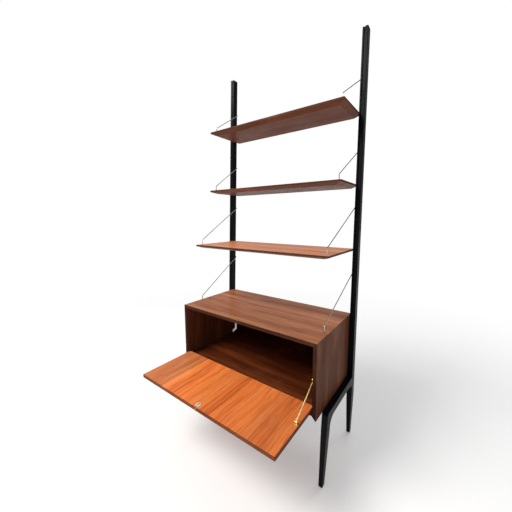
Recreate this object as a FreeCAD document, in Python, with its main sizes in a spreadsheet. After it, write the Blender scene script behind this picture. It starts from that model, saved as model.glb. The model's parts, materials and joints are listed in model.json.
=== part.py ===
import FreeCAD, Part
import math
import os
import Sketcher

# Ladder shelf: two raked black uprights with front legs, three teak shelves and a
# teak cabinet with a drop flap, all hung on steel wire hangers.
# Axes: X to the right, Y to the back, Z up. Lengths in millimetres.
# Every place below is counted in X from the middle, in Y from the cabinet's front
# edges and in Z from the floor, and frame_shift then centres the whole in Y.

SIZES = {
    # uprights and legs
    "upright_height": 1990,
    "upright_width": 27,
    "upright_depth": 35,
    "rake": 0.035,            # how far an upright runs back for each unit of height
    "groove_width": 5,
    "groove_depth": 5,
    "groove_inset": 7,        # from the upright's inner face
    "groove_bottom": 640,
    "edge_break": 2.2,        # rounding along the black frame's long edges
    "foot_round": 4.5,
    "leg_taper_top": 215,
    "foot_width": 17,
    "foot_depth": 17,
    "rear_foot_inset": 10,
    "front_foot_y": 28,
    "front_foot_depth": 20,
    "leg_lean": 0.1,          # how far the front leg runs back for each unit of height
    "knee_depth": 36,
    "arm_rise": 5,            # from the cabinet's lowest edge up to the arm's top, beside it
    "arm_height": 35,
    "arm_flare": 14,          # the arm's extra depth where it meets the upright
    "arm_flare_run": 48,
    "arm_bend": 42,           # radius of the curve under the arm
    "knee_bend": 14,
    "dowel_radius": 4,
    "dowel_reach": 18,
    # cabinet
    "cab_width": 805,
    "cab_depth": 402,
    "cab_height": 323,
    "cab_base": 306,
    "case_thick": 16,
    "floor_thick": 17,
    "side_drop": 18,          # the sides' points hang this far below the floor board
    "back_thick": 4,
    "back_inset": 3,
    "rear_lap": 30,           # how far the boards run past the uprights' front faces
    "upright_gap": 0.5,
    # flap
    "flap_thick": 17,
    "flap_gap": 1.5,
    "flap_clear": 0.3,
    "flap_lip": 5,            # the flap's lower end closes this far below the floor board's top
    "pivot_offset": 4.5,
    "pivot_radius": 2,
    "bush_radius": 3.2,
    "bush_length": 14,
    "running_clear": 0.06,
    "rebate_spare": 2.4,
    "rebate_back": 4.6,
    # shelves
    "shelf_thick": 19,
    "shelf_edge": 9,          # thickness of the shelf's thin front and end edges
    "bevel_run": 30,
    "top_shelf": 1612,
    "middle_shelf": 1274,
    "lower_shelf": 958,
    "top_shelf_depth": 221,
    "middle_shelf_depth": 222,
    "lower_shelf_depth": 327,
    "shelf_lap": 26,
    "pin_radius": 4,
    "shelf_pin_radius": 2.5,
    "pin_grip": 14,
    "pin_inset": 13,
    # wire hangers
    "wire_radius": 2.1,
    "wire_bend": 4.4,
    "wire_stand": 27,
    "wire_side_inset": 20,
    "wire_front_inset": 30,
    "cab_wire_y": 112,
    "short_rise": 168,
    "long_rise": 220,
    "wire_face_gap": 0.5,
    "wire_rear_gap": 2.4,
    "kink_run": 26,
    "kink_rise": 17,
    "hook_reach": 13,
    "hook_tip": 9,
    "socket_radius": 4,
    "socket_depth": 11,
    # flap stay
    "stay_radius": 112,       # flap pivot to either end of the stay
    "stay_foot_height": 8,
    "stay_side_gap": 13,
    "stay_closed_angle": 7,
    "rod_radius": 2.7,
    "rod_clear": 0.3,
    "guide_radius": 5.4,
    "guide_length": 11,
    "stop_radius": 4.6,
    "stop_length": 7,
    # lock
    "lock_inset": 14,
    "lock_radius": 7,
    "rose_radius": 11,
    "rose_thick": 1.5,
    "bolt_width": 12,
    "bolt_thick": 3,
    "bolt_length": 20.5,
    "bolt_travel": 7,
    "bolt_clear": 0.3,
    "plug_radius": 5.5,
    "strike_thick": 1.5,
}


def start_document():
    """Make the document and its sheet of driving sizes."""
    document = FreeCAD.newDocument("LadderShelf")
    sheet = document.addObject("Spreadsheet::Sheet", "Sizes")
    for row, (name, size) in enumerate(SIZES.items(), start=1):
        sheet.set(f"A{row}", name)
        sheet.set(f"B{row}", str(size))
        sheet.setAlias(f"B{row}", name)
    document.recompute()
    return document, sheet


doc, sizes = start_document()


def value(expression):
    """The number that an expression on the sheet's sizes gives."""
    return float(sizes.evalExpression(str(expression)))


def ref(text):
    """Write Sizes. before each sheet name in a plain formula."""
    words = []
    for word in text.replace("(", "( ").replace(")", " )").split():
        words.append("Sizes." + word if word in SIZES else word)
    return "(" + " ".join(words) + ")"


# derived places, as formulas on the sheet
HALF_CASE = ref("cab_width / 2")
INNER_HALF = ref("cab_width / 2 - case_thick")
UPRIGHT_IN = ref("cab_width / 2 + upright_gap")
UPRIGHT_OUT = ref("cab_width / 2 + upright_gap + upright_width")
CAB_TOP = ref("cab_base + cab_height")
TOP_UNDER = ref("cab_base + cab_height - case_thick")
FLOOR_UNDER = ref("cab_base + side_drop")
FLOOR_TOP = ref("cab_base + side_drop + floor_thick")
PIVOT_Z = f"({FLOOR_TOP} + " + ref("flap_clear + pivot_offset") + ")"
PIVOT_Y = ref("pivot_offset")
FLAP_UNDER = f"({FLOOR_TOP} + Sizes.flap_clear)"
FLAP_TOP = f"({FLAP_UNDER} + Sizes.flap_thick)"
FLAP_FRONT = f"({PIVOT_Y} - ({TOP_UNDER} - Sizes.flap_gap - {PIVOT_Z}))"
FLAP_REAR = f"({PIVOT_Y} + {PIVOT_Z} - ({FLOOR_TOP} - Sizes.flap_lip))"
FLAP_HALF = f"({INNER_HALF} - Sizes.flap_gap)"
UPRIGHT_Y0 = ref("cab_depth - rear_lap - rake * cab_base")


def upright_front(height):
    """Y of the uprights' front face at a height."""
    return f"({UPRIGHT_Y0} + Sizes.rake * ({height}))"


def upright_rear(height):
    """Y of the uprights' rear face at a height."""
    return f"({upright_front(height)} + Sizes.upright_depth)"


FRAME_SHIFT = f"(({upright_rear('Sizes.upright_height')} + {FLAP_FRONT}) / 2)"


# Helpers on bodies

def start_body(label):
    """A PartDesign body that is moved by the frame shift."""
    body = doc.addObject("PartDesign::Body", "Body_" + label)
    body.Label = label
    body.setExpression("Placement.Base.y", f"-{FRAME_SHIFT}")
    return body


def sketch_on(body, role, offset="0"):
    """A sketch on one of the body's own origin planes, moved along its normal."""
    sketch = body.newObject("Sketcher::SketchObject", "Sketch")
    plane = [item for item in body.Origin.OriginFeatures if item.Role == role][0]
    sketch.AttachmentSupport = [(plane, "")]
    sketch.MapMode = "FlatFace"
    sketch.setExpression("AttachmentOffset.Base.z", offset)
    return sketch


def pin_point(sketch, geometry, point, across, up):
    """Tie a sketch point to two formulas, counted from the sketch's origin."""
    for kind, formula in (("DistanceX", across), ("DistanceY", up)):
        index = sketch.addConstraint(
            Sketcher.Constraint(kind, -1, 1, geometry, point, value(formula)))
        sketch.setExpression(f"Constraints[{index}]", formula)


def polygon(sketch, corners):
    """A closed outline whose corners are pairs of formulas."""
    points = [FreeCAD.Vector(value(x), value(y), 0) for x, y in corners]
    first = sketch.GeometryCount
    total = len(points)
    for index in range(total):
        sketch.addGeometry(Part.LineSegment(points[index], points[(index + 1) % total]))
    for index in range(total):
        following = first + (index + 1) % total
        sketch.addConstraint(Sketcher.Constraint("Coincident", first + index, 2, following, 1))
    for index, (x, y) in enumerate(corners):
        pin_point(sketch, first + index, 1, x, y)


def pad(body, sketch, length):
    """Extrude a sketch along its normal."""
    feature = body.newObject("PartDesign::Pad", "Pad")
    feature.Profile = sketch
    feature.setExpression("Length", length)
    sketch.Visibility = False
    doc.recompute()
    return feature


def pocket(body, sketch, length, reverse=False):
    """Cut a sketch against its normal, and check that it removed something."""
    before = body.Shape.Volume
    feature = body.newObject("PartDesign::Pocket", "Pocket")
    feature.Profile = sketch
    feature.Reversed = reverse
    feature.setExpression("Length", length)
    doc.recompute()
    if body.Shape.Volume >= before - 1e-6:
        raise RuntimeError(body.Label + ": a pocket removed nothing")
    return feature


TURNS = {
    "+x": FreeCAD.Rotation(FreeCAD.Vector(0, 1, 0), 90),
    "-x": FreeCAD.Rotation(FreeCAD.Vector(0, 1, 0), -90),
    "+y": FreeCAD.Rotation(FreeCAD.Vector(1, 0, 0), -90),
    "-y": FreeCAD.Rotation(FreeCAD.Vector(1, 0, 0), 90),
    "+z": FreeCAD.Rotation(),
    "-z": FreeCAD.Rotation(FreeCAD.Vector(1, 0, 0), 180),
}


def drill(body, start, direction, radius, depth):
    """A round hole from a start point, given as three formulas, along an axis."""
    before = body.Shape.Volume
    hole = body.newObject("PartDesign::SubtractiveCylinder", "Hole")
    hole.setExpression("Radius", radius)
    hole.setExpression("Height", depth)
    hole.Placement = FreeCAD.Placement(FreeCAD.Vector(), TURNS[direction])
    for axis, formula in zip("xyz", start):
        hole.setExpression("Placement.Base." + axis, formula)
    doc.recompute()
    if body.Shape.Volume >= before - 1e-6:
        raise RuntimeError(body.Label + ": a hole removed nothing")


def cut_box(body, start, lengths):
    """A box-shaped cut from its lowest corner, all given as formulas."""
    before = body.Shape.Volume
    box = body.newObject("PartDesign::SubtractiveBox", "Slot")
    for name, formula in zip(("Length", "Width", "Height"), lengths):
        box.setExpression(name, formula)
    for axis, formula in zip("xyz", start):
        box.setExpression("Placement.Base." + axis, formula)
    doc.recompute()
    if body.Shape.Volume >= before - 1e-6:
        raise RuntimeError(body.Label + ": a slot removed nothing")


def chamfer(body, base, wanted, size):
    """Break the edges of the last feature for which wanted(edge) is true."""
    names = []
    for index, edge in enumerate(base.Shape.Edges, start=1):
        if wanted(edge):
            names.append(f"Edge{index}")
    feature = body.newObject("PartDesign::Chamfer", "Chamfer")
    feature.Base = (base, names)
    feature.setExpression("Size", size)
    doc.recompute()
    return feature


def fillet(body, base, wanted, size):
    """Round the edges of the last feature for which wanted(edge) is true."""
    names = []
    for index, edge in enumerate(base.Shape.Edges, start=1):
        if wanted(edge):
            names.append(f"Edge{index}")
    feature = body.newObject("PartDesign::Fillet", "Fillet")
    feature.Base = (base, names)
    feature.setExpression("Radius", size)
    doc.recompute()
    return feature


def near(first, second):
    """True for two lengths that are the same within rounding."""
    return abs(first - second) < 1e-4


def along_x(edge, y, z):
    """True for an edge along X at the given Y and Z."""
    ends = [vertex.Point for vertex in edge.Vertexes]
    if len(ends) != 2 or near(ends[0].x, ends[1].x):
        return False
    return all(near(end.y, y) and near(end.z, z) for end in ends)


def on_floor(edge):
    """True for an edge that lies on the floor."""
    return all(near(vertex.Point.z, 0) for vertex in edge.Vertexes)


def in_side_face(edge):
    """True for an edge in a plane of constant X that isn't on the floor."""
    ends = [vertex.Point for vertex in edge.Vertexes]
    flat = all(near(end.x, ends[0].x) for end in ends)
    return flat and not on_floor(edge)


# Helpers on plain solids

def vector(x, y, z):
    """A point of the design, moved by the frame shift."""
    return FreeCAD.Vector(x, y - value(FRAME_SHIFT), z)


AXES = {
    "x": FreeCAD.Vector(1, 0, 0),
    "y": FreeCAD.Vector(0, 1, 0),
    "z": FreeCAD.Vector(0, 0, 1),
}


def rod_between(start, end, radius):
    """A round bar between two points."""
    run = end - start
    return Part.makeCylinder(radius, run.Length, start, run)


def add_feature(label, shape):
    """A sub-part whose shape is set by code."""
    feature = doc.addObject("Part::Feature", "Piece_" + label)
    feature.Label = label
    feature.Shape = shape
    return feature


def bent_wire(points, bend, radius):
    """A round wire through points, with each corner rounded by an arc."""
    edges = []
    start = points[0]
    for before, corner, after in zip(points, points[1:], points[2:]):
        back = (before - corner).normalize()
        ahead = (after - corner).normalize()
        half = math.acos(max(-1, min(1, back.dot(ahead)))) / 2
        setback = bend / math.tan(half)
        middle = (back + ahead).normalize()
        centre = corner + middle * (bend / math.sin(half))
        first = corner + back * setback
        last = corner + ahead * setback
        crown = centre - middle * bend
        edges.append(Part.LineSegment(start, first).toShape())
        edges.append(Part.Arc(first, crown, last).toShape())
        start = last
    edges.append(Part.LineSegment(start, points[-1]).toShape())
    path = Part.Wire(edges)
    run = points[1] - points[0]
    section = Part.Wire([Part.makeCircle(radius, points[0], run)])
    solid = path.makePipeShell([section], True, False)
    expected = math.pi * radius ** 2 * path.Length
    if abs(solid.Volume - expected) > 0.02 * expected:
        raise RuntimeError("a wire's volume is wrong")
    return solid


# Black frame

def make_upright(label, side):
    """A raked upright, which is also the rear leg: tapered foot, groove and holes."""
    body = start_body(label)
    inner = UPRIGHT_IN if side > 0 else f"-{UPRIGHT_OUT}"
    taper = "Sizes.leg_taper_top"
    height = "Sizes.upright_height"
    foot = f"({upright_front(0)} + Sizes.rear_foot_inset)"
    outline = [
        (foot, "0"),
        (f"({foot} + Sizes.foot_depth)", "0"),
        (upright_rear(taper), taper),
        (upright_rear(height), height),
        (upright_front(height), height),
        (upright_front(taper), taper),
    ]
    sketch = sketch_on(body, "YZ_Plane", inner)
    polygon(sketch, outline)
    bar = pad(body, sketch, "Sizes.upright_width")
    fillet(body, bar, in_side_face, "Sizes.edge_break")
    tapered = taper_foot(body, side, "Sizes.leg_taper_top")
    fillet(body, tapered, on_floor, "Sizes.foot_round")
    cut_groove(body, side)
    hole = "(Sizes.wire_radius + Sizes.running_clear)"
    for name in HANGERS:
        place = hanger_top(name)
        across = f"({UPRIGHT_IN} + Sizes.hook_reach)"
        start = (f"({side}) * {across}", f"({upright_rear(place)} + 3)", place)
        drill(body, start, "-y", hole, "(Sizes.hook_tip + 3.5)")
    direction = "+x" if side > 0 else "-x"
    for y, z, radius in pin_places():
        start = (f"({side}) * ({UPRIGHT_IN} - 1)", y, z)
        drill(body, start, direction, f"({radius} + Sizes.running_clear)", "(Sizes.pin_grip + 2)")
    for z in dowel_heights():
        start = (f"({side}) * ({UPRIGHT_IN} + Sizes.upright_width / 2)", f"({upright_front(z)} - 2)", z)
        drill(body, start, "+y", "(Sizes.dowel_radius + Sizes.running_clear)",
              "(Sizes.dowel_reach + 2.5)")
    return body


def taper_foot(body, side, top):
    """Cut both faces of a leg so that it narrows to the foot."""
    middle = f"(({side}) * ({UPRIGHT_IN} + Sizes.upright_width / 2))"
    half = "(Sizes.upright_width / 2)"
    foot = "(Sizes.foot_width / 2)"
    sketch = sketch_on(body, "XZ_Plane", "20")
    for sign in ("-1", "1"):
        polygon(sketch, [
            (f"({middle} + {sign} * {foot})", "-1"),
            (f"({middle} + {sign} * {half})", top),
            (f"({middle} + {sign} * ({half} + 8))", top),
            (f"({middle} + {sign} * ({half} + 8))", "-1"),
        ])
    return pocket(body, sketch, "(Sizes.cab_depth + 120)")


def cut_groove(body, side):
    """The slot down the front face, open at the top."""
    near_face = f"({UPRIGHT_IN} + Sizes.groove_inset)"
    far_face = f"({near_face} + Sizes.groove_width)"
    offset = far_face if side > 0 else f"(-{near_face})"
    low = "Sizes.groove_bottom"
    high = "(Sizes.upright_height + 5)"
    sketch = sketch_on(body, "YZ_Plane", offset)
    polygon(sketch, [
        (f"({upright_front(low)} - 4)", low),
        (f"({upright_front(low)} + Sizes.groove_depth)", low),
        (f"({upright_front(high)} + Sizes.groove_depth)", high),
        (f"({upright_front(high)} - 4)", high),
    ])
    pocket(body, sketch, "Sizes.groove_width")


ARM_TOP = ref("cab_base + arm_rise")
ARM_UNDER = ref("cab_base + arm_rise - arm_height")
FLARE_UNDER = ref("cab_base + arm_rise - arm_height - arm_flare")


def leg_front(height):
    """Y of the front leg's front edge at a height."""
    return f"(Sizes.front_foot_y + Sizes.leg_lean * ({height}))"


def dowel_heights():
    """Heights of the two dowels between an arm and its upright."""
    low = f"({FLARE_UNDER} + 14)"
    high = f"({ARM_TOP} - 11)"
    return [low, high]


def make_front_leg(label, side):
    """The front leg and the arm that joins it to the upright, in one bent piece."""
    body = start_body(label)
    inner = UPRIGHT_IN if side > 0 else f"-{UPRIGHT_OUT}"
    knee_rear = f"({leg_front(ARM_UNDER)} + Sizes.knee_depth)"
    outline = [
        (leg_front(0), "0"),
        (f"({leg_front(0)} + Sizes.front_foot_depth)", "0"),
        (knee_rear, ARM_UNDER),
        (f"({upright_front(ARM_UNDER)} - Sizes.arm_flare_run)", ARM_UNDER),
        (upright_front(FLARE_UNDER), FLARE_UNDER),
        (upright_front(ARM_TOP), ARM_TOP),
        (leg_front(ARM_TOP), ARM_TOP),
    ]
    sketch = sketch_on(body, "YZ_Plane", inner)
    polygon(sketch, outline)
    bar = pad(body, sketch, "Sizes.upright_width")
    bend_y, bend_z = value(knee_rear), value(ARM_UNDER)
    bent = fillet(body, bar, lambda edge: along_x(edge, bend_y, bend_z), "Sizes.arm_bend")
    flare_y = value(upright_front(ARM_UNDER)) - value("Sizes.arm_flare_run")
    bent = fillet(body, bent, lambda edge: along_x(edge, flare_y, bend_z), "Sizes.arm_bend")
    top_y, top_z = value(leg_front(ARM_TOP)), value(ARM_TOP)
    bent = fillet(body, bent, lambda edge: along_x(edge, top_y, top_z), "Sizes.knee_bend")
    joint_y = value(upright_front(FLARE_UNDER))

    def free_edge(edge):
        middle = edge.CenterOfMass
        return in_side_face(edge) and middle.y < joint_y - 3

    fillet(body, bent, free_edge, "Sizes.edge_break")
    tapered = taper_foot(body, side, "(Sizes.leg_taper_top + 30)")
    fillet(body, tapered, on_floor, "Sizes.foot_round")
    for z in dowel_heights():
        start = (f"({side}) * ({UPRIGHT_IN} + Sizes.upright_width / 2)", f"({upright_front(z)} + 2)", z)
        drill(body, start, "-y", "(Sizes.dowel_radius + Sizes.running_clear)",
              "(Sizes.dowel_reach + 2.5)")
    return body


def make_leg_dowels(label, side):
    """Two wooden dowels between an arm and its upright."""
    x = side * (value(UPRIGHT_IN) + SIZES["upright_width"] / 2)
    reach = value("Sizes.dowel_reach")
    pins = []
    for formula in dowel_heights():
        z = value(formula)
        y = value(upright_front(formula))
        start = vector(x, y - reach, z)
        pins.append(Part.makeCylinder(value("Sizes.dowel_radius"), 2 * reach, start, AXES["y"]))
    return add_feature(label, Part.makeCompound(pins))


# Shelves

SHELVES = {
    "shelf_top": ("Sizes.top_shelf", "Sizes.top_shelf_depth"),
    "shelf_middle": ("Sizes.middle_shelf", "Sizes.middle_shelf_depth"),
    "shelf_lower": ("Sizes.lower_shelf", "Sizes.lower_shelf_depth"),
}


def shelf_rear(top):
    """Y of a shelf's rear edge."""
    return f"({upright_front(top)} + Sizes.shelf_lap)"


def shelf_pin_place(top):
    """Y and Z of the pin that carries a shelf's end."""
    return f"({shelf_rear(top)} - Sizes.pin_inset)", f"({top} - Sizes.shelf_edge / 2)"


def cabinet_pin_places():
    """Y and Z of the pins that hold the cabinet's sides to an upright."""
    places = []
    for z in (f"({CAB_TOP} - 42)", f"({FLOOR_TOP} + 38)"):
        places.append((f"({upright_front(z)} + 10)", z))
    return places


def pin_places():
    """Y, Z and radius of every pin in an upright."""
    places = [shelf_pin_place(top) + ("Sizes.shelf_pin_radius",) for top, _ in SHELVES.values()]
    return places + [place + ("Sizes.pin_radius",) for place in cabinet_pin_places()]


def make_shelf(label):
    """A shelf with its underside bevelled to a thin edge in front and at both ends."""
    top, depth = SHELVES[label]
    body = start_body(label)
    rear = shelf_rear(top)
    front = f"({rear} - {depth})"
    under = f"({top} - Sizes.shelf_thick)"
    edge = f"({top} - Sizes.shelf_edge)"
    sketch = sketch_on(body, "YZ_Plane", f"-{HALF_CASE}")
    polygon(sketch, [
        (front, top),
        (front, edge),
        (f"({front} + Sizes.bevel_run)", under),
        (rear, under),
        (rear, top),
    ])
    board = pad(body, sketch, "Sizes.cab_width")
    top_z = value(top)

    def upper_front(candidate):
        ends = [vertex.Point for vertex in candidate.Vertexes]
        level = all(near(end.z, top_z) for end in ends)
        at_rear = all(near(end.y, value(rear)) for end in ends)
        return level and not at_rear

    chamfer(body, board, upper_front, "0.8")
    ends = sketch_on(body, "XZ_Plane", f"-({rear} + 5)")
    for sign in ("-1", "1"):
        polygon(ends, [
            (f"({sign} * ({HALF_CASE} + 3))", f"({under} - 2)"),
            (f"({sign} * ({HALF_CASE} - Sizes.bevel_run))", f"({under} - 2)"),
            (f"({sign} * ({HALF_CASE} - Sizes.bevel_run))", under),
            (f"({sign} * {HALF_CASE})", edge),
            (f"({sign} * ({HALF_CASE} + 3))", edge),
        ])
    pocket(body, ends, f"({depth} + 10)", reverse=True)
    y, z = shelf_pin_place(top)
    hole = "(Sizes.shelf_pin_radius + Sizes.running_clear)"
    for side, direction in ((1, "-x"), (-1, "+x")):
        start = (f"({side}) * ({HALF_CASE} + 1)", y, z)
        drill(body, start, direction, hole, "(Sizes.pin_grip + 1.5)")
    drill_sockets(body, f"({front} + Sizes.wire_front_inset)", top)
    return body


def drill_sockets(body, y, top):
    """The two blind holes that take a board's wire sockets."""
    for side in (1, -1):
        x = f"({side}) * ({HALF_CASE} - Sizes.wire_side_inset)"
        start = (x, y, f"({top} + 2)")
        drill(body, start, "-z", "(Sizes.socket_radius + Sizes.running_clear)",
              "(Sizes.socket_depth + 2.2)")


# Wire hangers

HANGERS = {
    "top": ("Sizes.top_shelf", "Sizes.short_rise"),
    "middle": ("Sizes.middle_shelf", "Sizes.short_rise"),
    "lower": ("Sizes.lower_shelf", "Sizes.long_rise"),
    "cabinet": (CAB_TOP, "Sizes.long_rise"),
}


def hanger_top(name):
    """Height at which a hanger hooks over the upright's rear face."""
    base, rise = HANGERS[name]
    return f"({base} + {rise})"


def hanger_base_y(name):
    """Y of a hanger's upright end."""
    if name == "cabinet":
        return "Sizes.cab_wire_y"
    top, depth = SHELVES["shelf_" + name]
    return f"({shelf_rear(top)} - {depth} + Sizes.wire_front_inset)"


def make_hanger(name, side_name, side):
    """A wire from a board's front corner up to the back of the upright."""
    x = side * (value(HALF_CASE) - value("Sizes.wire_side_inset"))
    y = value(hanger_base_y(name))
    base = value(HANGERS[name][0])
    top = value(hanger_top(name))
    radius = value("Sizes.wire_radius")
    face = side * (value(UPRIGHT_IN) - value("Sizes.wire_face_gap") - radius)
    rear = value(upright_rear(hanger_top(name)))
    behind = rear + radius + value("Sizes.wire_rear_gap")
    across = side * (value(UPRIGHT_IN) + value("Sizes.hook_reach"))
    kink_y = behind - value("Sizes.kink_run")
    kink_z = top - value("Sizes.kink_rise")
    points = [
        vector(x, y, base - value("Sizes.socket_depth") + 1),
        vector(x, y, base + value("Sizes.wire_stand")),
        vector(face, kink_y, kink_z),
        vector(face, behind, top),
        vector(across, behind, top),
        vector(across, rear - value("Sizes.hook_tip"), top),
    ]
    wire = bent_wire(points, value("Sizes.wire_bend"), radius)
    return add_feature(f"hanger_{name}_{side_name}", wire)


def make_sockets():
    """Threaded steel sleeves, one under each hanger."""
    sleeves = []
    outer = value("Sizes.socket_radius")
    inner = value("Sizes.wire_radius") + value("Sizes.running_clear")
    depth = value("Sizes.socket_depth")
    for name in HANGERS:
        base = value(HANGERS[name][0])
        y = value(hanger_base_y(name))
        for side in (1, -1):
            x = side * (value(HALF_CASE) - value("Sizes.wire_side_inset"))
            start = vector(x, y, base - depth)
            sleeve = Part.makeCylinder(outer, depth, start, AXES["z"])
            bore = Part.makeCylinder(inner, depth, start + FreeCAD.Vector(0, 0, 0.8), AXES["z"])
            sleeves.append(sleeve.cut(bore))
    return add_feature("hanger_sockets", Part.makeCompound(sleeves))


def make_pins(label, places, board_depth, radius):
    """Steel pins between the boards' ends and both uprights."""
    pins = []
    reach = value("Sizes.pin_grip")
    for side in (1, -1):
        for y, z in places:
            inner = side * (value(HALF_CASE) - board_depth)
            start = vector(inner, value(y), value(z))
            length = board_depth + value("Sizes.upright_gap") + reach
            pins.append(Part.makeCylinder(radius, length, start, AXES["x"] * side))
    return add_feature(label, Part.makeCompound(pins))


# Cabinet

def make_cabinet_top():
    """The cabinet's top board, mitred to the sides."""
    body = start_body("cabinet_top")
    sketch = sketch_on(body, "XZ_Plane", "0")
    polygon(sketch, [
        (f"-{HALF_CASE}", CAB_TOP),
        (f"-{INNER_HALF}", TOP_UNDER),
        (INNER_HALF, TOP_UNDER),
        (HALF_CASE, CAB_TOP),
    ])
    board = pad(body, sketch, "Sizes.cab_depth")
    board.Reversed = True
    doc.recompute()
    drill_sockets(body, "Sizes.cab_wire_y", CAB_TOP)
    mortise_start = (
        "(-Sizes.bolt_width / 2 - 0.6)",
        f"({bolt_middle()} - Sizes.bolt_thick / 2 - 0.6)",
        f"({TOP_UNDER} - 1)",
    )
    cut_box(body, mortise_start,
            ("(Sizes.bolt_width + 1.2)", "(Sizes.bolt_thick + 1.2)", "(Sizes.bolt_travel + 1.5)"))
    strike_start = ("-20", f"({bolt_middle()} - 5.5)", f"({TOP_UNDER} - 1)")
    cut_box(body, strike_start, ("40", "11", "(Sizes.strike_thick + 1)"))
    return body


def bolt_middle():
    """Y of the lock bolt's middle when the flap is shut."""
    return "(Sizes.flap_thick / 2)"


def make_cabinet_side(label, side):
    """A side board with mitred ends: its lower point hangs below the floor board."""
    body = start_body(label)
    sketch = sketch_on(body, "XZ_Plane", "0")
    bottom = "Sizes.cab_base"
    inner_bottom = ref("cab_base + case_thick")
    polygon(sketch, [
        (f"({side}) * {HALF_CASE}", bottom),
        (f"({side}) * {HALF_CASE}", CAB_TOP),
        (f"({side}) * {INNER_HALF}", TOP_UNDER),
        (f"({side}) * {INNER_HALF}", inner_bottom),
    ])
    board = pad(body, sketch, "Sizes.cab_depth")
    board.Reversed = True
    doc.recompute()
    direction = "-x" if side > 0 else "+x"
    hole = "(Sizes.pin_radius + Sizes.running_clear)"
    for y, z in cabinet_pin_places():
        start = (f"({side}) * ({HALF_CASE} + 1)", y, z)
        drill(body, start, direction, hole, "(Sizes.case_thick - 4 + 1)")
    start = (f"({side}) * ({INNER_HALF} - 1)", PIVOT_Y, PIVOT_Z)
    outward = "+x" if side > 0 else "-x"
    drill(body, start, outward, "(Sizes.pivot_radius + Sizes.running_clear)",
          "(Sizes.case_thick - 4 + 1)")
    return body


def make_cabinet_floor():
    """The floor board, rebated in front where the flap's lower end shuts."""
    body = start_body("cabinet_floor")
    step_z = f"({FLOOR_TOP} - Sizes.flap_lip - Sizes.rebate_spare)"
    step_y = ref("flap_thick + rebate_back")
    sketch = sketch_on(body, "YZ_Plane", f"-{INNER_HALF}")
    polygon(sketch, [
        ("0", FLOOR_UNDER),
        ("Sizes.cab_depth", FLOOR_UNDER),
        ("Sizes.cab_depth", FLOOR_TOP),
        (step_y, FLOOR_TOP),
        (step_y, step_z),
        ("0", step_z),
    ])
    pad(body, sketch, f"(2 * {INNER_HALF})")
    return body


def make_cabinet_back():
    """The thin back, set in between the top, the sides and the floor."""
    panel = doc.addObject("Part::Box", "Piece_cabinet_back")
    panel.Label = "cabinet_back"
    panel.setExpression("Length", f"2 * {INNER_HALF}")
    panel.setExpression("Width", "Sizes.back_thick")
    panel.setExpression("Height", f"{TOP_UNDER} - {FLOOR_TOP}")
    panel.setExpression("Placement.Base.x", f"-{INNER_HALF}")
    rear = "Sizes.cab_depth - Sizes.back_inset - Sizes.back_thick"
    panel.setExpression("Placement.Base.y", f"{rear} - {FRAME_SHIFT}")
    panel.setExpression("Placement.Base.z", FLOOR_TOP)
    return panel


# Flap

LOCK_Y = f"({FLAP_FRONT} + Sizes.lock_inset)"


def make_flap():
    """The drop flap, open: its rear end sits over the floor board's rebate."""
    body = start_body("flap")
    sketch = sketch_on(body, "YZ_Plane", f"-{FLAP_HALF}")
    polygon(sketch, [
        (FLAP_FRONT, FLAP_UNDER),
        (FLAP_REAR, FLAP_UNDER),
        (FLAP_REAR, FLAP_TOP),
        (FLAP_FRONT, FLAP_TOP),
    ])
    board = pad(body, sketch, f"(2 * {FLAP_HALF})")
    rear, under = value(FLAP_REAR), value(FLAP_UNDER)
    rounded = fillet(body, board, lambda edge: along_x(edge, rear, under), "3.5")
    front = value(FLAP_FRONT)
    half = value(FLAP_HALF)

    def outer_rim(edge):
        ends = [vertex.Point for vertex in edge.Vertexes]
        at_front = all(near(end.y, front) for end in ends)
        at_end = all(near(abs(end.x), half) for end in ends) and near(ends[0].x, ends[-1].x)
        level = near(ends[0].z, ends[-1].z)
        clear = all(end.y < rear - 6 for end in ends) or len(ends) == 2
        return level and clear and (at_front or at_end) and edge.CenterOfMass.y < rear - 6

    chamfer(body, rounded, outer_rim, "0.8")
    for side, direction in ((1, "-x"), (-1, "+x")):
        start = (f"({side}) * ({FLAP_HALF} + 1)", PIVOT_Y, PIVOT_Z)
        drill(body, start, direction, "(Sizes.bush_radius + Sizes.running_clear)",
              "(Sizes.bush_length + 1)")
    drill(body, ("0", LOCK_Y, f"({FLAP_UNDER} - 1)"), "+z",
          "(Sizes.lock_radius + 0.3)", "(Sizes.flap_thick + 2)")
    clear = "Sizes.bolt_clear"
    channel_start = (
        f"(-Sizes.bolt_width / 2 - {clear})",
        f"({FLAP_FRONT} - 1)",
        f"({FLAP_UNDER} + Sizes.flap_thick / 2 - Sizes.bolt_thick / 2 - {clear})",
    )
    cut_box(body, channel_start, (
        f"(Sizes.bolt_width + 2 * {clear})",
        "(Sizes.bolt_length + 2)",
        f"(Sizes.bolt_thick + 2 * {clear})",
    ))
    return body


def make_pivot(side_name, side):
    """A steel pivot pin in the cabinet's side and its brass bush in the flap's end."""
    y, z = value(PIVOT_Y), value(PIVOT_Z)
    outward = AXES["x"] * side
    case_end = side * (value(INNER_HALF) + value("Sizes.case_thick") - 4.2)
    flap_end = side * value(FLAP_HALF)
    pin_end = side * (value(FLAP_HALF) - value("Sizes.bush_length") + 3)
    pin = rod_between(vector(pin_end, y, z), vector(case_end, y, z), value("Sizes.pivot_radius"))
    add_feature("flap_pivot_" + side_name, pin)
    length = value("Sizes.bush_length")
    start = vector(flap_end, y, z) - outward * length
    bush = Part.makeCylinder(value("Sizes.bush_radius"), length, start, outward)
    bore_radius = value("Sizes.pivot_radius") + value("Sizes.running_clear")
    bore = Part.makeCylinder(bore_radius, length, start + outward * 2, outward)
    add_feature("flap_bush_" + side_name, bush.cut(bore))


# Stay

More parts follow.
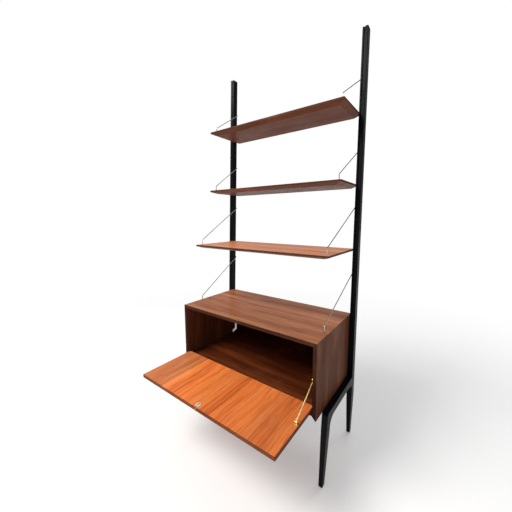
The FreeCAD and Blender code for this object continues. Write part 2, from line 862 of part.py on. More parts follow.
def stay_points():
    """The foot pivot and the guide pivot, in the stay's plane, with the flap open."""
    reach = value("Sizes.stay_radius")
    lift = value(f"{FLAP_TOP} + Sizes.stay_foot_height - {PIVOT_Z}")
    run = math.sqrt(reach ** 2 - lift ** 2)
    foot = (value(PIVOT_Y) - run, value(PIVOT_Z) + lift)
    shut = math.atan2(lift, run) + math.radians(value("Sizes.stay_closed_angle"))
    guide = (value(PIVOT_Y) + reach * math.sin(shut), value(PIVOT_Z) + reach * math.cos(shut))
    return foot, guide


def stay_x():
    """X of the stay's plane."""
    return value(INNER_HALF) - value("Sizes.stay_side_gap")


def make_stay():
    """Foot, pin, rod, end stop, guide and bracket of the brass flap stay."""
    foot, guide = stay_points()
    x = stay_x()
    foot_point = vector(x, foot[0], foot[1])
    guide_point = vector(x, guide[0], guide[1])
    along = (guide_point - foot_point).normalize()
    make_stay_foot(foot_point)
    make_stay_rod(foot_point, guide_point, along)
    make_stay_guide(guide_point, along)


FOOT_PLATE = 1.8
FOOT_EAR = 2
FOOT_HALF = 3.6
EYE_HALF = 2
EYE_PIN = 1.4


def make_stay_foot(pivot):
    """A round plate with two ears on the flap, its pin and its screws."""
    top = value(FLAP_TOP)
    base = FreeCAD.Vector(pivot.x, pivot.y, top)
    plate = Part.makeCylinder(9, FOOT_PLATE, base, AXES["z"])
    inside = EYE_HALF + 0.3
    for side in (1, -1):
        low = pivot.x + (inside if side > 0 else -inside - FOOT_EAR)
        corner = FreeCAD.Vector(low, pivot.y - FOOT_HALF, top)
        ear = Part.makeBox(FOOT_EAR, 2 * FOOT_HALF, pivot.z - top, corner)
        crown_start = FreeCAD.Vector(low, pivot.y, pivot.z)
        crown = Part.makeCylinder(FOOT_HALF, FOOT_EAR, crown_start, AXES["x"])
        plate = plate.fuse([ear, crown])
    bore_start = FreeCAD.Vector(pivot.x - 10, pivot.y, pivot.z)
    bore = Part.makeCylinder(EYE_PIN + 0.02, 20, bore_start, AXES["x"])
    add_feature("stay_foot", plate.cut(bore).removeSplitter())
    reach = inside + FOOT_EAR + 0.6
    pin_start = FreeCAD.Vector(pivot.x - reach, pivot.y, pivot.z)
    add_feature("stay_foot_pin", Part.makeCylinder(EYE_PIN, 2 * reach, pin_start, AXES["x"]))


def make_stay_rod(foot, guide, along):
    """The rod with its eye, and the stop screwed on its far end."""
    radius = value("Sizes.rod_radius")
    span = (guide - foot).Length
    end = foot + along * (span + value("Sizes.guide_radius") + 0.4)
    tip = end + along * (value("Sizes.stop_length") - 2)
    eye_start = FreeCAD.Vector(foot.x - EYE_HALF, foot.y, foot.z)
    eye = Part.makeCylinder(3.4, 2 * EYE_HALF, eye_start, AXES["x"])
    bar = rod_between(foot + along * 4.5, end, radius)
    neck = rod_between(foot + along * 1, foot + along * 5, EYE_HALF)
    stud = rod_between(end - along * 1, tip, 1.5)
    bore = Part.makeCylinder(EYE_PIN + 0.05, 10, eye_start - AXES["x"] * 3, AXES["x"])
    rod = eye.fuse([bar, neck, stud]).cut(bore)
    add_feature("stay_rod", rod)
    stop = rod_between(end, end + along * value("Sizes.stop_length"), value("Sizes.stop_radius"))
    hole = rod_between(end - along * 1, tip, 1.5)
    add_feature("stay_stop", stop.cut(hole))


def make_stay_guide(pivot, along):
    """The turning guide that the rod slides through, and its bracket on the side."""
    radius = value("Sizes.guide_radius")
    half = value("Sizes.guide_length") / 2
    start = FreeCAD.Vector(pivot.x - half, pivot.y, pivot.z)
    block = Part.makeCylinder(radius, 2 * half, start, AXES["x"])
    tunnel_radius = value("Sizes.rod_radius") + value("Sizes.rod_clear")
    tunnel = rod_between(pivot - along * 20, pivot + along * 20, tunnel_radius)
    stub_radius = 2.2
    stub_inner = pivot.x + tunnel_radius + 0.6
    bore_start = FreeCAD.Vector(stub_inner - 0.2, pivot.y, pivot.z)
    bore = Part.makeCylinder(stub_radius + value("Sizes.running_clear"), 20, bore_start, AXES["x"])
    add_feature("stay_guide", block.cut(tunnel).cut(bore))
    wall = value(INNER_HALF)
    plate_thick = 2.2
    plate_start = FreeCAD.Vector(wall - plate_thick, pivot.y, pivot.z)
    plate = Part.makeCylinder(10, plate_thick, plate_start, AXES["x"])
    stub_start = FreeCAD.Vector(stub_inner, pivot.y, pivot.z)
    stub = Part.makeCylinder(stub_radius, wall - 1 - stub_inner, stub_start, AXES["x"])
    collar_start = FreeCAD.Vector(pivot.x + half + 0.4, pivot.y, pivot.z)
    collar = Part.makeCylinder(4, wall - 1 - collar_start.x, collar_start, AXES["x"])
    add_feature("stay_bracket", plate.fuse([stub, collar]).removeSplitter())


# Lock and stop

SLOT_WIDTH = 3.6


def make_lock():
    """Case, rose, sleeve, plug, escutcheon, bolt and strike plate of the flap's lock."""
    y = value(LOCK_Y)
    under, top = value(FLAP_UNDER), value(FLAP_TOP)
    middle = (under + top) / 2
    channel = value("Sizes.bolt_thick / 2 + Sizes.bolt_clear")
    outer = value("Sizes.lock_radius") + 0.24
    rose = value("Sizes.rose_radius")
    thick = value("Sizes.rose_thick")
    roof = middle + channel
    case = Part.makeCylinder(outer, top + thick + 0.7 - roof, vector(0, y, roof), AXES["z"])
    # the turning slot runs right across the case and the rose
    slot_corner = vector(-SLOT_WIDTH / 2, y - rose - 1, top + thick - 0.9)
    slot = Part.makeBox(SLOT_WIDTH, 2 * rose + 2, 3, slot_corner)
    add_feature("lock_case", case.cut(slot))
    ring = Part.makeCylinder(rose, thick, vector(0, y, top), AXES["z"])
    hole = Part.makeCylinder(outer + 0.06, thick + 2, vector(0, y, top - 1), AXES["z"])
    add_feature("lock_rose", ring.cut(hole).cut(slot))
    deep = middle - channel - under
    inner = value("Sizes.plug_radius")
    sleeve = Part.makeCylinder(outer, deep, vector(0, y, under), AXES["z"])
    bore_radius = inner + value("Sizes.running_clear")
    bore = Part.makeCylinder(bore_radius, deep + 2, vector(0, y, under - 1), AXES["z"])
    add_feature("lock_sleeve", sleeve.cut(bore))
    outside = Part.makeCylinder(rose, thick, vector(0, y, under - thick), AXES["z"])
    key_hole = Part.makeCylinder(4.2, thick + 2, vector(0, y, under - thick - 1), AXES["z"])
    add_feature("lock_escutcheon", outside.cut(key_hole))
    plug = Part.makeCylinder(inner, deep - 0.1, vector(0, y, under + 0.1), AXES["z"])
    keyway = Part.makeBox(1.8, 6, 4, vector(-0.9, y - 3, under - 1))
    throw = value("Sizes.bolt_travel / 2")
    stud_start = vector(0, y + throw, middle - channel - 1)
    stud_length = 1 + channel + value("Sizes.bolt_thick / 2")
    stud = Part.makeCylinder(BOLT_STUD, stud_length, stud_start, AXES["z"])
    add_feature("lock_plug", plug.cut(keyway).fuse(stud).removeSplitter())
    make_bolt(y, middle)
    make_strike()


# the plug's stud drives the bolt by half a turn: the play in the bolt's slot takes up
# the difference between the stud's round path and the bolt's even travel
BOLT_STUD = 1
STUD_PLAY = 0.85


def make_bolt(lock_y, middle):
    """The flat bolt, drawn back inside the flap, with the cross slot for the stud."""
    width = value("Sizes.bolt_width")
    thick = value("Sizes.bolt_thick")
    throw = value("Sizes.bolt_travel / 2")
    front = value(FLAP_FRONT) + 0.3
    corner = vector(-width / 2, front, middle - thick / 2)
    bolt = Part.makeBox(width, value("Sizes.bolt_length"), thick, corner)
    half = BOLT_STUD + STUD_PLAY
    slot_corner = vector(-throw - 1.3, lock_y + throw - half, middle - thick)
    slot = Part.makeBox(throw + 2.6, 2 * half, 2 * thick, slot_corner)
    add_feature("lock_bolt", bolt.cut(slot))


def make_strike():
    """The slotted plate let into the top board above the bolt."""
    middle = value(bolt_middle())
    thick = value("Sizes.strike_thick")
    under = value(TOP_UNDER)
    plate = Part.makeBox(39.6, 10.6, thick, vector(-19.8, middle - 5.3, under))
    width = value("Sizes.bolt_width") + 1.2
    depth = value("Sizes.bolt_thick") + 1.2
    slot = Part.makeBox(width, depth, thick + 2, vector(-width / 2, middle - depth / 2, under - 1))
    add_feature("lock_strike", plate.cut(slot))


def make_flap_stop():
    """The bent steel leaf under the top board that the shut flap rests against."""
    face = value("Sizes.flap_thick") + 0.4
    under = value(TOP_UNDER)
    thick = 1.5
    foot = Part.makeBox(14, 22, thick, vector(-40, face, under - thick))
    outline = [(-38, 0), (-28, 0), (-27, -35), (-50, -58), (-56, -52), (-38, -32)]
    corners = [vector(x, face, under + z) for x, z in outline]
    leaf_wire = Part.makePolygon(corners + corners[:1])
    leaf = Part.Face(leaf_wire).extrude(FreeCAD.Vector(0, thick, 0))
    add_feature("flap_stop", foot.fuse(leaf).removeSplitter())


# Screws

def countersunk(tip_direction, head_centre, head_radius, length):
    """A wood screw: a cone head over a plain shank."""
    head_depth = head_radius * 0.6
    shank = head_radius * 0.45
    head = Part.makeCone(head_radius, shank, head_depth, head_centre, tip_direction)
    body = Part.makeCylinder(shank, length, head_centre, tip_direction)
    return head.fuse(body)


def cut_for_screws(label, places, direction, head_radius, length):
    """Open matching holes in a made sub-part for screws that pass through it."""
    piece = [item for item in doc.Objects if item.Label == label][0]
    shape = piece.Shape
    for place in places:
        shape = shape.cut(countersunk(direction, place, head_radius, length))
    piece.Shape = shape


def make_screws(label, holder, board, places, turn, head_radius, length):
    """A group of equal screws, let flush into the piece that they hold to a board."""
    direction = TURNS[turn].multVec(AXES["z"])
    cut_for_screws(holder, places, direction, head_radius, length)
    group = [countersunk(direction, place, head_radius, length) for place in places]
    add_feature(label, Part.makeCompound(group))
    body = [item for item in doc.Objects if item.Label == board][0]
    shank = head_radius * 0.45 + 0.05
    for place in places:
        start = (str(place.x), f"({place.y} + {FRAME_SHIFT})", str(place.z))
        drill(body, start, turn, str(shank), str(length + 0.4))


def make_all_screws():
    """Screws of the stay's foot and bracket, the flap stop and the strike plate."""
    foot, guide = stay_points()
    x = stay_x()
    top = value(FLAP_TOP) + FOOT_PLATE
    foot_places = [vector(x, foot[0] + shift, top) for shift in (-6.3, 6.3)]
    make_screws("stay_foot_screws", "stay_foot", "flap", foot_places, "-z", 1.9, 10)
    wall = value(INNER_HALF) - 2.2
    guide_places = [vector(wall, guide[0] + shift, guide[1]) for shift in (-7, 7)]
    make_screws("stay_bracket_screws", "stay_bracket", "cabinet_side_right", guide_places,
                "+x", 1.9, 10)
    under = value(TOP_UNDER)
    face = value("Sizes.flap_thick") + 0.4
    stop_places = [vector(-33, face + shift, under - 1.5) for shift in (7, 16)]
    make_screws("flap_stop_screws", "flap_stop", "cabinet_top", stop_places, "+z", 2.2, 11)
    middle = value(bolt_middle())
    strike_places = [vector(shift, middle, under) for shift in (-14, 14)]
    make_screws("strike_screws", "lock_strike", "cabinet_top", strike_places, "+z", 1.9, 10)


# Build, check and write

def build():
    """Make every sub-part."""
    for side_name, side in (("left", -1), ("right", 1)):
        make_upright("upright_" + side_name, side)
        make_front_leg("front_leg_" + side_name, side)
        make_leg_dowels("leg_dowels_" + side_name, side)
        make_cabinet_side("cabinet_side_" + side_name, side)
        make_pivot(side_name, side)
        for name in HANGERS:
            make_hanger(name, side_name, side)
    for label in SHELVES:
        make_shelf(label)
    make_sockets()
    shelf_places = [shelf_pin_place(top) for top, _ in SHELVES.values()]
    make_pins("shelf_pins", shelf_places, value("Sizes.pin_grip"), SIZES["shelf_pin_radius"])
    case_reach = value("Sizes.case_thick - 4.2")
    make_pins("cabinet_pins", cabinet_pin_places(), case_reach, SIZES["pin_radius"])
    make_cabinet_top()
    make_cabinet_floor()
    make_cabinet_back()
    make_flap()
    make_stay()
    make_lock()
    make_flap_stop()
    make_all_screws()


def sub_parts():
    """Every object that is a sub-part, by its label."""
    kinds = ("PartDesign::Body", "Part::Feature", "Part::Box")
    return [item for item in doc.Objects if item.TypeId in kinds]


def check_document():
    """Stop if any object failed or any sub-part's shape is null or invalid."""
    doc.recompute()
    for item in doc.Objects:
        if "Invalid" in item.State or "Error" in item.State:
            raise RuntimeError(item.Label + " failed: " + str(item.State))
    for item in sub_parts():
        if item.Shape.isNull() or not item.Shape.isValid():
            raise RuntimeError(item.Label + " has a bad shape")


def write_parts():
    """Write each sub-part to its own file."""
    os.makedirs("parts", exist_ok=True)
    box = FreeCAD.BoundBox()
    for item in sub_parts():
        item.Shape.exportStep(f"parts/{item.Label}.step")
        box.add(item.Shape.BoundBox)
    print(len(sub_parts()), "sub-parts, box", box)


build()
check_document()
write_parts()
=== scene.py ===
import bpy
import bmesh
import json
import math
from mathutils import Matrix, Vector


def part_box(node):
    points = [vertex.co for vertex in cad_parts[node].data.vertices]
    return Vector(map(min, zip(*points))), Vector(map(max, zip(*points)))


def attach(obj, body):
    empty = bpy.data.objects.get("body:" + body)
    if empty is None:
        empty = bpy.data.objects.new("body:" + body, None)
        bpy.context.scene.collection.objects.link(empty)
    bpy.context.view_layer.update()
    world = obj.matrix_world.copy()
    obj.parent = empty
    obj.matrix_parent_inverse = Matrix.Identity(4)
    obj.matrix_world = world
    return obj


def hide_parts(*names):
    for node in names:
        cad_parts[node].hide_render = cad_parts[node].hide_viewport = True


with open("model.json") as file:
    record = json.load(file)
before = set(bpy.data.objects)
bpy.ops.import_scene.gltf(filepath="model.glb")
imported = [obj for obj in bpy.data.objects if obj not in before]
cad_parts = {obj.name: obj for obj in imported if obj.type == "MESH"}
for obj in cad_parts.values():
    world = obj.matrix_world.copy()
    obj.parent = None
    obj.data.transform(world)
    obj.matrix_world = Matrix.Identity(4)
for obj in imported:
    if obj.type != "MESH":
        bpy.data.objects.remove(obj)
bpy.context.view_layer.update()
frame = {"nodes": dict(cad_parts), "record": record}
nodes = frame["nodes"]
print("frame loaded", len(nodes), "nodes")


def newMaterial(name):
    material = bpy.data.materials.new(name)
    material.use_nodes = True
    tree = material.node_tree
    tree.nodes.clear()
    output = tree.nodes.new("ShaderNodeOutputMaterial")
    shader = tree.nodes.new("ShaderNodeBsdfPrincipled")
    tree.links.new(shader.outputs["BSDF"], output.inputs["Surface"])
    return material, tree, shader


def addNode(tree, kind, **settings):
    node = tree.nodes.new(kind)
    for key, value in settings.items():
        setattr(node, key, value)
    return node


def link(tree, source, target):
    if isinstance(source, bpy.types.NodeSocket):
        tree.links.new(source, target)
    else:
        target.default_value = source


def math2(tree, operation, first, second=0.0, clamp=False):
    node = addNode(tree, "ShaderNodeMath", operation=operation, use_clamp=clamp)
    link(tree, first, node.inputs[0])
    link(tree, second, node.inputs[1])
    return node.outputs[0]


def mapRange(tree, value, fromLow, fromHigh, toLow, toHigh):
    node = addNode(tree, "ShaderNodeMapRange", interpolation_type="SMOOTHSTEP")
    for index, item in enumerate((value, fromLow, fromHigh, toLow, toHigh)):
        link(tree, item, node.inputs[index])
    return node.outputs[0]


def mixColor(tree, factor, first, second, blend="MIX"):
    node = addNode(tree, "ShaderNodeMix", data_type="RGBA", blend_type=blend)
    link(tree, factor, node.inputs["Factor"])
    link(tree, first, node.inputs[6])
    link(tree, second, node.inputs[7])
    return node.outputs[2]


def noise(tree, vector, scale, detail=3.0, roughness=0.5, distortion=0.0):
    node = addNode(tree, "ShaderNodeTexNoise")
    link(tree, vector, node.inputs["Vector"])
    node.inputs["Scale"].default_value = scale
    node.inputs["Detail"].default_value = detail
    node.inputs["Roughness"].default_value = roughness
    node.inputs["Distortion"].default_value = distortion
    return node.outputs["Fac"]


def objectPlace(tree):
    return addNode(tree, "ShaderNodeTexCoord").outputs["Object"]


def scaled(tree, vector, factors, shift=(0, 0, 0)):
    node = addNode(tree, "ShaderNodeMapping")
    link(tree, vector, node.inputs["Vector"])
    node.inputs["Scale"].default_value = factors
    node.inputs["Location"].default_value = shift
    return node.outputs["Vector"]


def ramp(tree, factor, stops):
    node = addNode(tree, "ShaderNodeValToRGB")
    link(tree, factor, node.inputs["Fac"])
    elements = node.color_ramp.elements
    while len(elements) < len(stops):
        elements.new(0.5)
    for element, (place, color) in zip(elements, stops):
        element.position = place
        element.color = (*color, 1)
    return node.outputs["Color"]


def bump(tree, height, strength, distance):
    node = addNode(tree, "ShaderNodeBump")
    link(tree, height, node.inputs["Height"])
    node.inputs["Strength"].default_value = strength
    node.inputs["Distance"].default_value = distance
    return node.outputs["Normal"]


# teak veneer
# along is the grain's axis, across the axis on which the leaves follow one another; leaves are
# book-cut strips of veneer, each with its own tone and stretch of the figure

def teak(name, along, across, settings):
    material, tree, shader = newMaterial(name)
    place = objectPlace(tree)
    split = addNode(tree, "ShaderNodeSeparateXYZ")
    link(tree, place, split.inputs[0])
    leafPlace = math2(tree, "ADD", split.outputs[across], settings["leafShift"])
    leafPlace = math2(tree, "DIVIDE", leafPlace, settings["leafWidth"])
    leafIndex = math2(tree, "FLOOR", leafPlace)
    leafRandom = addNode(tree, "ShaderNodeTexWhiteNoise", noise_dimensions="1D")
    link(tree, math2(tree, "ADD", leafIndex, settings["seed"]), leafRandom.inputs["W"])
    tone = leafRandom.outputs["Value"]
    # each leaf reads its own stretch of the figure
    moved = addNode(tree, "ShaderNodeCombineXYZ")
    for axis in range(3):
        link(tree, math2(tree, "MULTIPLY", tone, 3.7 + axis), moved.inputs[axis])
    shifted = addNode(tree, "ShaderNodeVectorMath", operation="ADD")
    link(tree, place, shifted.inputs[0])
    link(tree, moved.outputs[0], shifted.inputs[1])
    spot = shifted.outputs[0]
    figureScale = [1.0, 1.0, 1.0]
    figureScale[along] = settings["figureStretch"]
    stretched = scaled(tree, spot, figureScale)
    fineScale = [1.0, 1.0, 1.0]
    fineScale[along] = settings["fineStretch"]
    fine = scaled(tree, spot, fineScale)
    # slow bend of the grain lines
    sway = noise(tree, scaled(tree, spot, (2.2, 2.2, 2.2)), 1.0, 2.0)
    bend = addNode(tree, "ShaderNodeVectorMath", operation="ADD")
    wobble = addNode(tree, "ShaderNodeCombineXYZ")
    for axis in range(3):
        if axis != along:
            link(tree, math2(tree, "MULTIPLY", sway, settings["sway"]), wobble.inputs[axis])
    link(tree, stretched, bend.inputs[0])
    link(tree, wobble.outputs[0], bend.inputs[1])
    broad = noise(tree, bend.outputs[0], settings["broad"], 2.0, 0.5, 0.2)
    bands = noise(tree, bend.outputs[0], settings["bands"], 3.0, 0.6, 0.1)
    streak = noise(tree, fine, settings["streaks"], 3.0, 0.65)
    pores = noise(tree, scaled(tree, fine, (1.0, 1.0, 1.0), (3, 1, 2)), settings["pores"], 2.0, 0.5)
    broadShare, bandShare, streakShare = settings["shares"]
    figure = math2(tree, "MULTIPLY", broad, broadShare)
    figure = math2(tree, "ADD", figure, math2(tree, "MULTIPLY", bands, bandShare))
    figure = math2(tree, "ADD", figure, math2(tree, "MULTIPLY", streak, streakShare))
    low, high = settings["spread"]
    figure = mapRange(tree, figure, low, high, 0.0, 1.0)
    color = ramp(tree, figure, settings["colors"])
    # leaf tones, either set leaf by leaf or by chance
    if "leafTones" in settings:
        tones = settings["leafTones"]
        leafRamp = addNode(tree, "ShaderNodeValToRGB")
        leafRamp.color_ramp.interpolation = "CONSTANT"
        leafMiddle = math2(tree, "DIVIDE", math2(tree, "ADD", leafIndex, 0.5), len(tones))
        link(tree, leafMiddle, leafRamp.inputs["Fac"])
        stops = leafRamp.color_ramp.elements
        while len(stops) < len(tones):
            stops.new(0.5)
        for index, leafColor in enumerate(tones):
            stops[index].position = index / len(tones)
            stops[index].color = (*leafColor, 1)
        leafTint = leafRamp.outputs["Color"]
    else:
        leafRange = settings["leafRange"]
        leafTone = mapRange(tree, tone, 0.0, 1.0, 1.0 - leafRange, 1.0 + leafRange * 0.6)
        bright = addNode(tree, "ShaderNodeCombineColor")
        for axis, tint in enumerate(settings["leafTint"]):
            link(tree, math2(tree, "POWER", leafTone, tint), bright.inputs[axis])
        leafTint = bright.outputs[0]
    color = mixColor(tree, 1.0, color, leafTint, "MULTIPLY")
    # dark hair lines and pores
    hair = mapRange(tree, streak, 0.30, 0.44, 1.0, 0.0)
    color = mixColor(tree, math2(tree, "MULTIPLY", hair, settings["hairDark"]), color, settings["hair"])
    poreMask = mapRange(tree, pores, 0.30, 0.40, 1.0, 0.0)
    color = mixColor(tree, math2(tree, "MULTIPLY", poreMask, settings["poreDark"]), color, settings["hair"])
    # seams between leaves
    within = math2(tree, "FRACT", leafPlace)
    fromEdge = math2(tree, "MINIMUM", within, math2(tree, "SUBTRACT", 1.0, within))
    seamPart = settings["seamWidth"] / settings["leafWidth"]
    seam = mapRange(tree, fromEdge, 0.0, seamPart, settings["seam"], 0.0)
    color = mixColor(tree, seam, color, settings["hair"])
    # faces that aren't the show face get painted shade: edge and end faces are darkened toward near-black,
    # partly the darker solid lipping, and undersides are darkened
    normal = addNode(tree, "ShaderNodeNewGeometry").outputs["Normal"]
    turned = addNode(tree, "ShaderNodeVectorTransform", vector_type="NORMAL", convert_from="WORLD",
                     convert_to="OBJECT")
    link(tree, normal, turned.inputs[0])
    sides = addNode(tree, "ShaderNodeSeparateXYZ")
    link(tree, turned.outputs[0], sides.inputs[0])
    edge = 0.0
    for axis in settings["edgeAxes"]:
        facing = math2(tree, "ABSOLUTE", sides.outputs[axis])
        edge = math2(tree, "MAXIMUM", edge, mapRange(tree, facing, 0.5, 0.85, 0.0, 1.0))
    # faces turned downwards are darkened: painted shade under the board
    if settings.get("underAxis") is not None:
        under = math2(tree, "MULTIPLY", sides.outputs[settings["underAxis"]], -1.0)
        edge = math2(tree, "MAXIMUM", edge, mapRange(tree, under, 0.2, 0.7, 0.0, settings["underDark"]))
    dark = mixColor(tree, settings["edgeDark"], color, settings["edgeColor"])
    color = mixColor(tree, edge, color, dark)
    # wear: a few paler rubbed places and duller patches
    patch = noise(tree, scaled(tree, place, (1, 1, 1), (9, 4, 7)), 3.1, 4.0, 0.6)
    rub = mapRange(tree, patch, 0.52, 0.75, 0.0, 0.16)
    color = mixColor(tree, rub, color, settings["rub"])
    link(tree, color, shader.inputs["Base Color"])
    smudge = noise(tree, scaled(tree, place, (1, 1, 1), (2, 8, 5)), 9.0, 5.0, 0.65)
    rough = mapRange(tree, smudge, 0.3, 0.7, settings["rough"] - 0.05, settings["rough"] + 0.07)
    rough = math2(tree, "ADD", rough, math2(tree, "MULTIPLY", hair, 0.12))
    link(tree, rough, shader.inputs["Roughness"])
    shine = mapRange(tree, edge, 0.2, 0.8, settings["shine"], 0.04)
    link(tree, shine, shader.inputs["Specular IOR Level"])
    link(tree, mapRange(tree, edge, 0.2, 0.8, settings["coat"], 0.0), shader.inputs["Coat Weight"])
    shader.inputs["Coat Roughness"].default_value = 0.22
    depth = math2(tree, "SUBTRACT", math2(tree, "MULTIPLY", streak, 0.6), poreMask)
    link(tree, bump(tree, depth, 0.22, 0.0003), shader.inputs["Normal"])
    return material


warm = {
    "seed": 3.0, "leafShift": 0.13, "leafWidth": 0.196, "leafRange": 0.14, "leafTint": (0.7, 1.05, 1.3),
    "spread": (0.34, 0.66), "broad": 22.0, "bands": 95.0, "shine": 0.34,
    "colors": [(0.0, (0.120, 0.040, 0.018)), (0.35, (0.215, 0.076, 0.034)), (0.65, (0.290, 0.108, 0.046)),
               (1.0, (0.390, 0.160, 0.072))],
    "hair": (0.055, 0.016, 0.008, 1), "hairDark": 0.55, "poreDark": 0.42, "seam": 0.5, "seamWidth": 0.0011,
    "figureStretch": 0.032, "fineStretch": 0.011, "sway": 0.05, "streaks": 460.0, "pores": 1500.0,
    "shares": (0.40, 0.38, 0.22), "edgeAxes": (1,), "edgeDark": 0.90,
    "edgeColor": (0.020, 0.005, 0.003, 1), "rub": (0.42, 0.19, 0.09, 1), "rough": 0.38, "coat": 0.08,
}


def variant(**changes):
    settings = dict(warm)
    settings.update(changes)
    return settings


shelfTeak = teak("shelfTeak", 0, 1, variant(
    seed=11.0, leafWidth=0.5, leafShift=0.3, underAxis=2, underDark=0.90, shine=0.42, edgeAxes=(0, 1),
    edgeColor=(0.042, 0.012, 0.008, 1), edgeDark=0.94, coat=0.16,
    colors=[(0.0, (0.36, 0.104, 0.042)), (0.35, (0.52, 0.172, 0.070)), (0.65, (0.63, 0.236, 0.100)),
            (1.0, (0.74, 0.320, 0.145))]))
# the case teak is set darker than the shelf teak; part of this is painted shade for the case top under the
# shelves
topTeak = teak("topTeak", 0, 1, variant(
    seed=5.0, leafWidth=0.205, leafShift=0.104, spread=(0.33, 0.67),
    colors=[(0.0, (0.150, 0.046, 0.020)), (0.35, (0.260, 0.086, 0.036)), (0.65, (0.345, 0.122, 0.050)),
            (1.0, (0.450, 0.180, 0.078))]))
# the side panels get a much darker copy of the teak: painted shade
sideTeak = teak("sideTeak", 2, 1, variant(
    seed=21.0, leafWidth=0.15, leafShift=0.10, leafRange=0.12, shine=0.03, coat=0.0,
    colors=[(0.0, (0.075, 0.024, 0.011)), (0.4, (0.112, 0.038, 0.018)), (0.7, (0.142, 0.050, 0.024)),
            (1.0, (0.185, 0.068, 0.034))]))
# the inside of the case gets a near-black copy of the teak: painted shade in the hollow of the case
insideTeak = teak("insideTeak", 0, 1, variant(
    seed=31.0, leafWidth=0.6, leafShift=0.3, edgeDark=0.85, coat=0.0, rough=0.5, shine=0.12,
    colors=[(0.0, (0.052, 0.009, 0.002)), (0.5, (0.098, 0.021, 0.005)), (1.0, (0.170, 0.043, 0.011))]))
flapTeak = teak("flapTeak", 1, 0, variant(
    seed=46.0, leafWidth=0.154, leafShift=0.385, underAxis=2, underDark=0.6, rough=0.34,
    coat=0.06, broad=18.0, bands=130.0, spread=(0.32, 0.66), edgeAxes=(0, 1), edgeDark=0.82,
    edgeColor=(0.060, 0.014, 0.006, 1),
    leafTones=[(0.66, 0.72, 0.98), (1.04, 1.04, 1.04), (0.84, 0.82, 0.82), (0.88, 0.84, 0.82),
               (0.76, 0.74, 0.80)],
    colors=[(0.0, (0.52, 0.105, 0.016)), (0.3, (0.76, 0.178, 0.036)), (0.62, (0.89, 0.232, 0.052)),
            (1.0, (0.98, 0.330, 0.080))]))
print("teak made")


def lacquer():
    material, tree, shader = newMaterial("blackLacquer")
    place = objectPlace(tree)
    grain = noise(tree, scaled(tree, place, (1, 1, 0.03)), 260.0, 4.0, 0.6)
    worn = noise(tree, place, 7.0, 5.0, 0.6)
    rubbed = mapRange(tree, worn, 0.58, 0.74, 0.0, 0.35)
    base = mixColor(tree, rubbed, (0.0032, 0.0036, 0.0056, 1), (0.010, 0.0115, 0.016, 1))
    fleck = mapRange(tree, grain, 0.60, 0.70, 0.0, 0.14)
    base = mixColor(tree, fleck, base, (0.014, 0.0145, 0.018, 1))
    link(tree, base, shader.inputs["Base Color"])
    link(tree, mapRange(tree, worn, 0.3, 0.7, 0.27, 0.42), shader.inputs["Roughness"])
    shader.inputs["Specular IOR Level"].default_value = 0.07
    link(tree, bump(tree, grain, 0.05, 0.0002), shader.inputs["Normal"])
    return material


def metal(name, settings):
    material, tree, shader = newMaterial(name)
    place = objectPlace(tree)
    cloud = noise(tree, place, 38.0, 5.0, 0.6)
    lines = noise(tree, scaled(tree, place, (1, 0.06, 1)), 900.0, 2.0, 0.5)
    tarnish = mapRange(tree, cloud, 0.42, 0.72, 0.0, 0.7)
    tint = mixColor(tree, tarnish, (*settings["bright"], 1), (*settings["dull"], 1))
    # inside the turning slot the colour is set near-black
    if "slotTop" in settings:
        split = addNode(tree, "ShaderNodeSeparateXYZ")
        link(tree, place, split.inputs[0])
        sunk = math2(tree, "LESS_THAN", split.outputs[2], settings["slotTop"])
        within = math2(tree, "LESS_THAN", math2(tree, "ABSOLUTE", split.outputs[0]), settings["slotHalf"])
        tint = mixColor(tree, math2(tree, "MULTIPLY", sunk, within), tint, settings["grime"])
    link(tree, tint, shader.inputs["Base Color"])
    shader.inputs["Metallic"].default_value = settings["metallic"]
    rough = settings["rough"]
    link(tree, mapRange(tree, cloud, 0.3, 0.7, rough - 0.06, rough + 0.10), shader.inputs["Roughness"])
    link(tree, bump(tree, lines, settings["scratch"], 0.0001), shader.inputs["Normal"])
    return material


def plainWood():
    material, tree, shader = newMaterial("beechDowel")
    place = objectPlace(tree)
    grain = noise(tree, scaled(tree, place, (1, 0.05, 1)), 240.0, 3.0, 0.5)
    color = ramp(tree, grain, [(0.3, (0.42, 0.26, 0.13)), (0.7, (0.60, 0.42, 0.24))])
    link(tree, color, shader.inputs["Base Color"])
    shader.inputs["Roughness"].default_value = 0.6
    return material


blackLacquer = lacquer()
wireSteel = metal("wireSteel", {
    "bright": (0.62, 0.61, 0.57), "dull": (0.34, 0.32, 0.28),
    "metallic": 1.0, "rough": 0.24, "scratch": 0.05})
plainSteel = metal("plainSteel", {
    "bright": (0.34, 0.34, 0.33), "dull": (0.20, 0.19, 0.18),
    "metallic": 1.0, "rough": 0.36, "scratch": 0.10})
stayBrass = metal("stayBrass", {
    "bright": (0.80, 0.60, 0.27), "dull": (0.55, 0.37, 0.14),
    "metallic": 1.0, "rough": 0.40, "scratch": 0.08})
lockBrass = metal("lockBrass", {
    "bright": (0.86, 0.74, 0.50), "dull": (0.66, 0.52, 0.30),
    "metallic": 0.55, "rough": 0.46, "scratch": 0.08})
beechDowel = plainWood()


def lockMetal(name, node):
    # the turning slot's walls and floor are coloured near-black
    return metal(name, {
        "bright": (0.95, 0.86, 0.66), "dull": (0.80, 0.68, 0.46), "metallic": 0.40, "rough": 0.42,
        "scratch": 0.08,
        "slotTop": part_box(node)[1][2] - 0.0003, "slotHalf": 0.0019, "grime": (0.030, 0.022, 0.012, 1)})


lockFace = lockMetal("lockFace", "lock_case")
lockRim = lockMetal("lockRim", "lock_rose")

bySlot = {
    "teak_shelf": shelfTeak, "teak_case": topTeak, "teak_inside": insideTeak, "teak_flap": flapTeak,
    "black_wood": blackLacquer, "beech": beechDowel, "wire_steel": wireSteel, "steel": plainSteel,
    "brass": stayBrass,
}
slotOf = {entry["node"]: entry["material_slot"] for entry in frame["record"]["subparts"]}
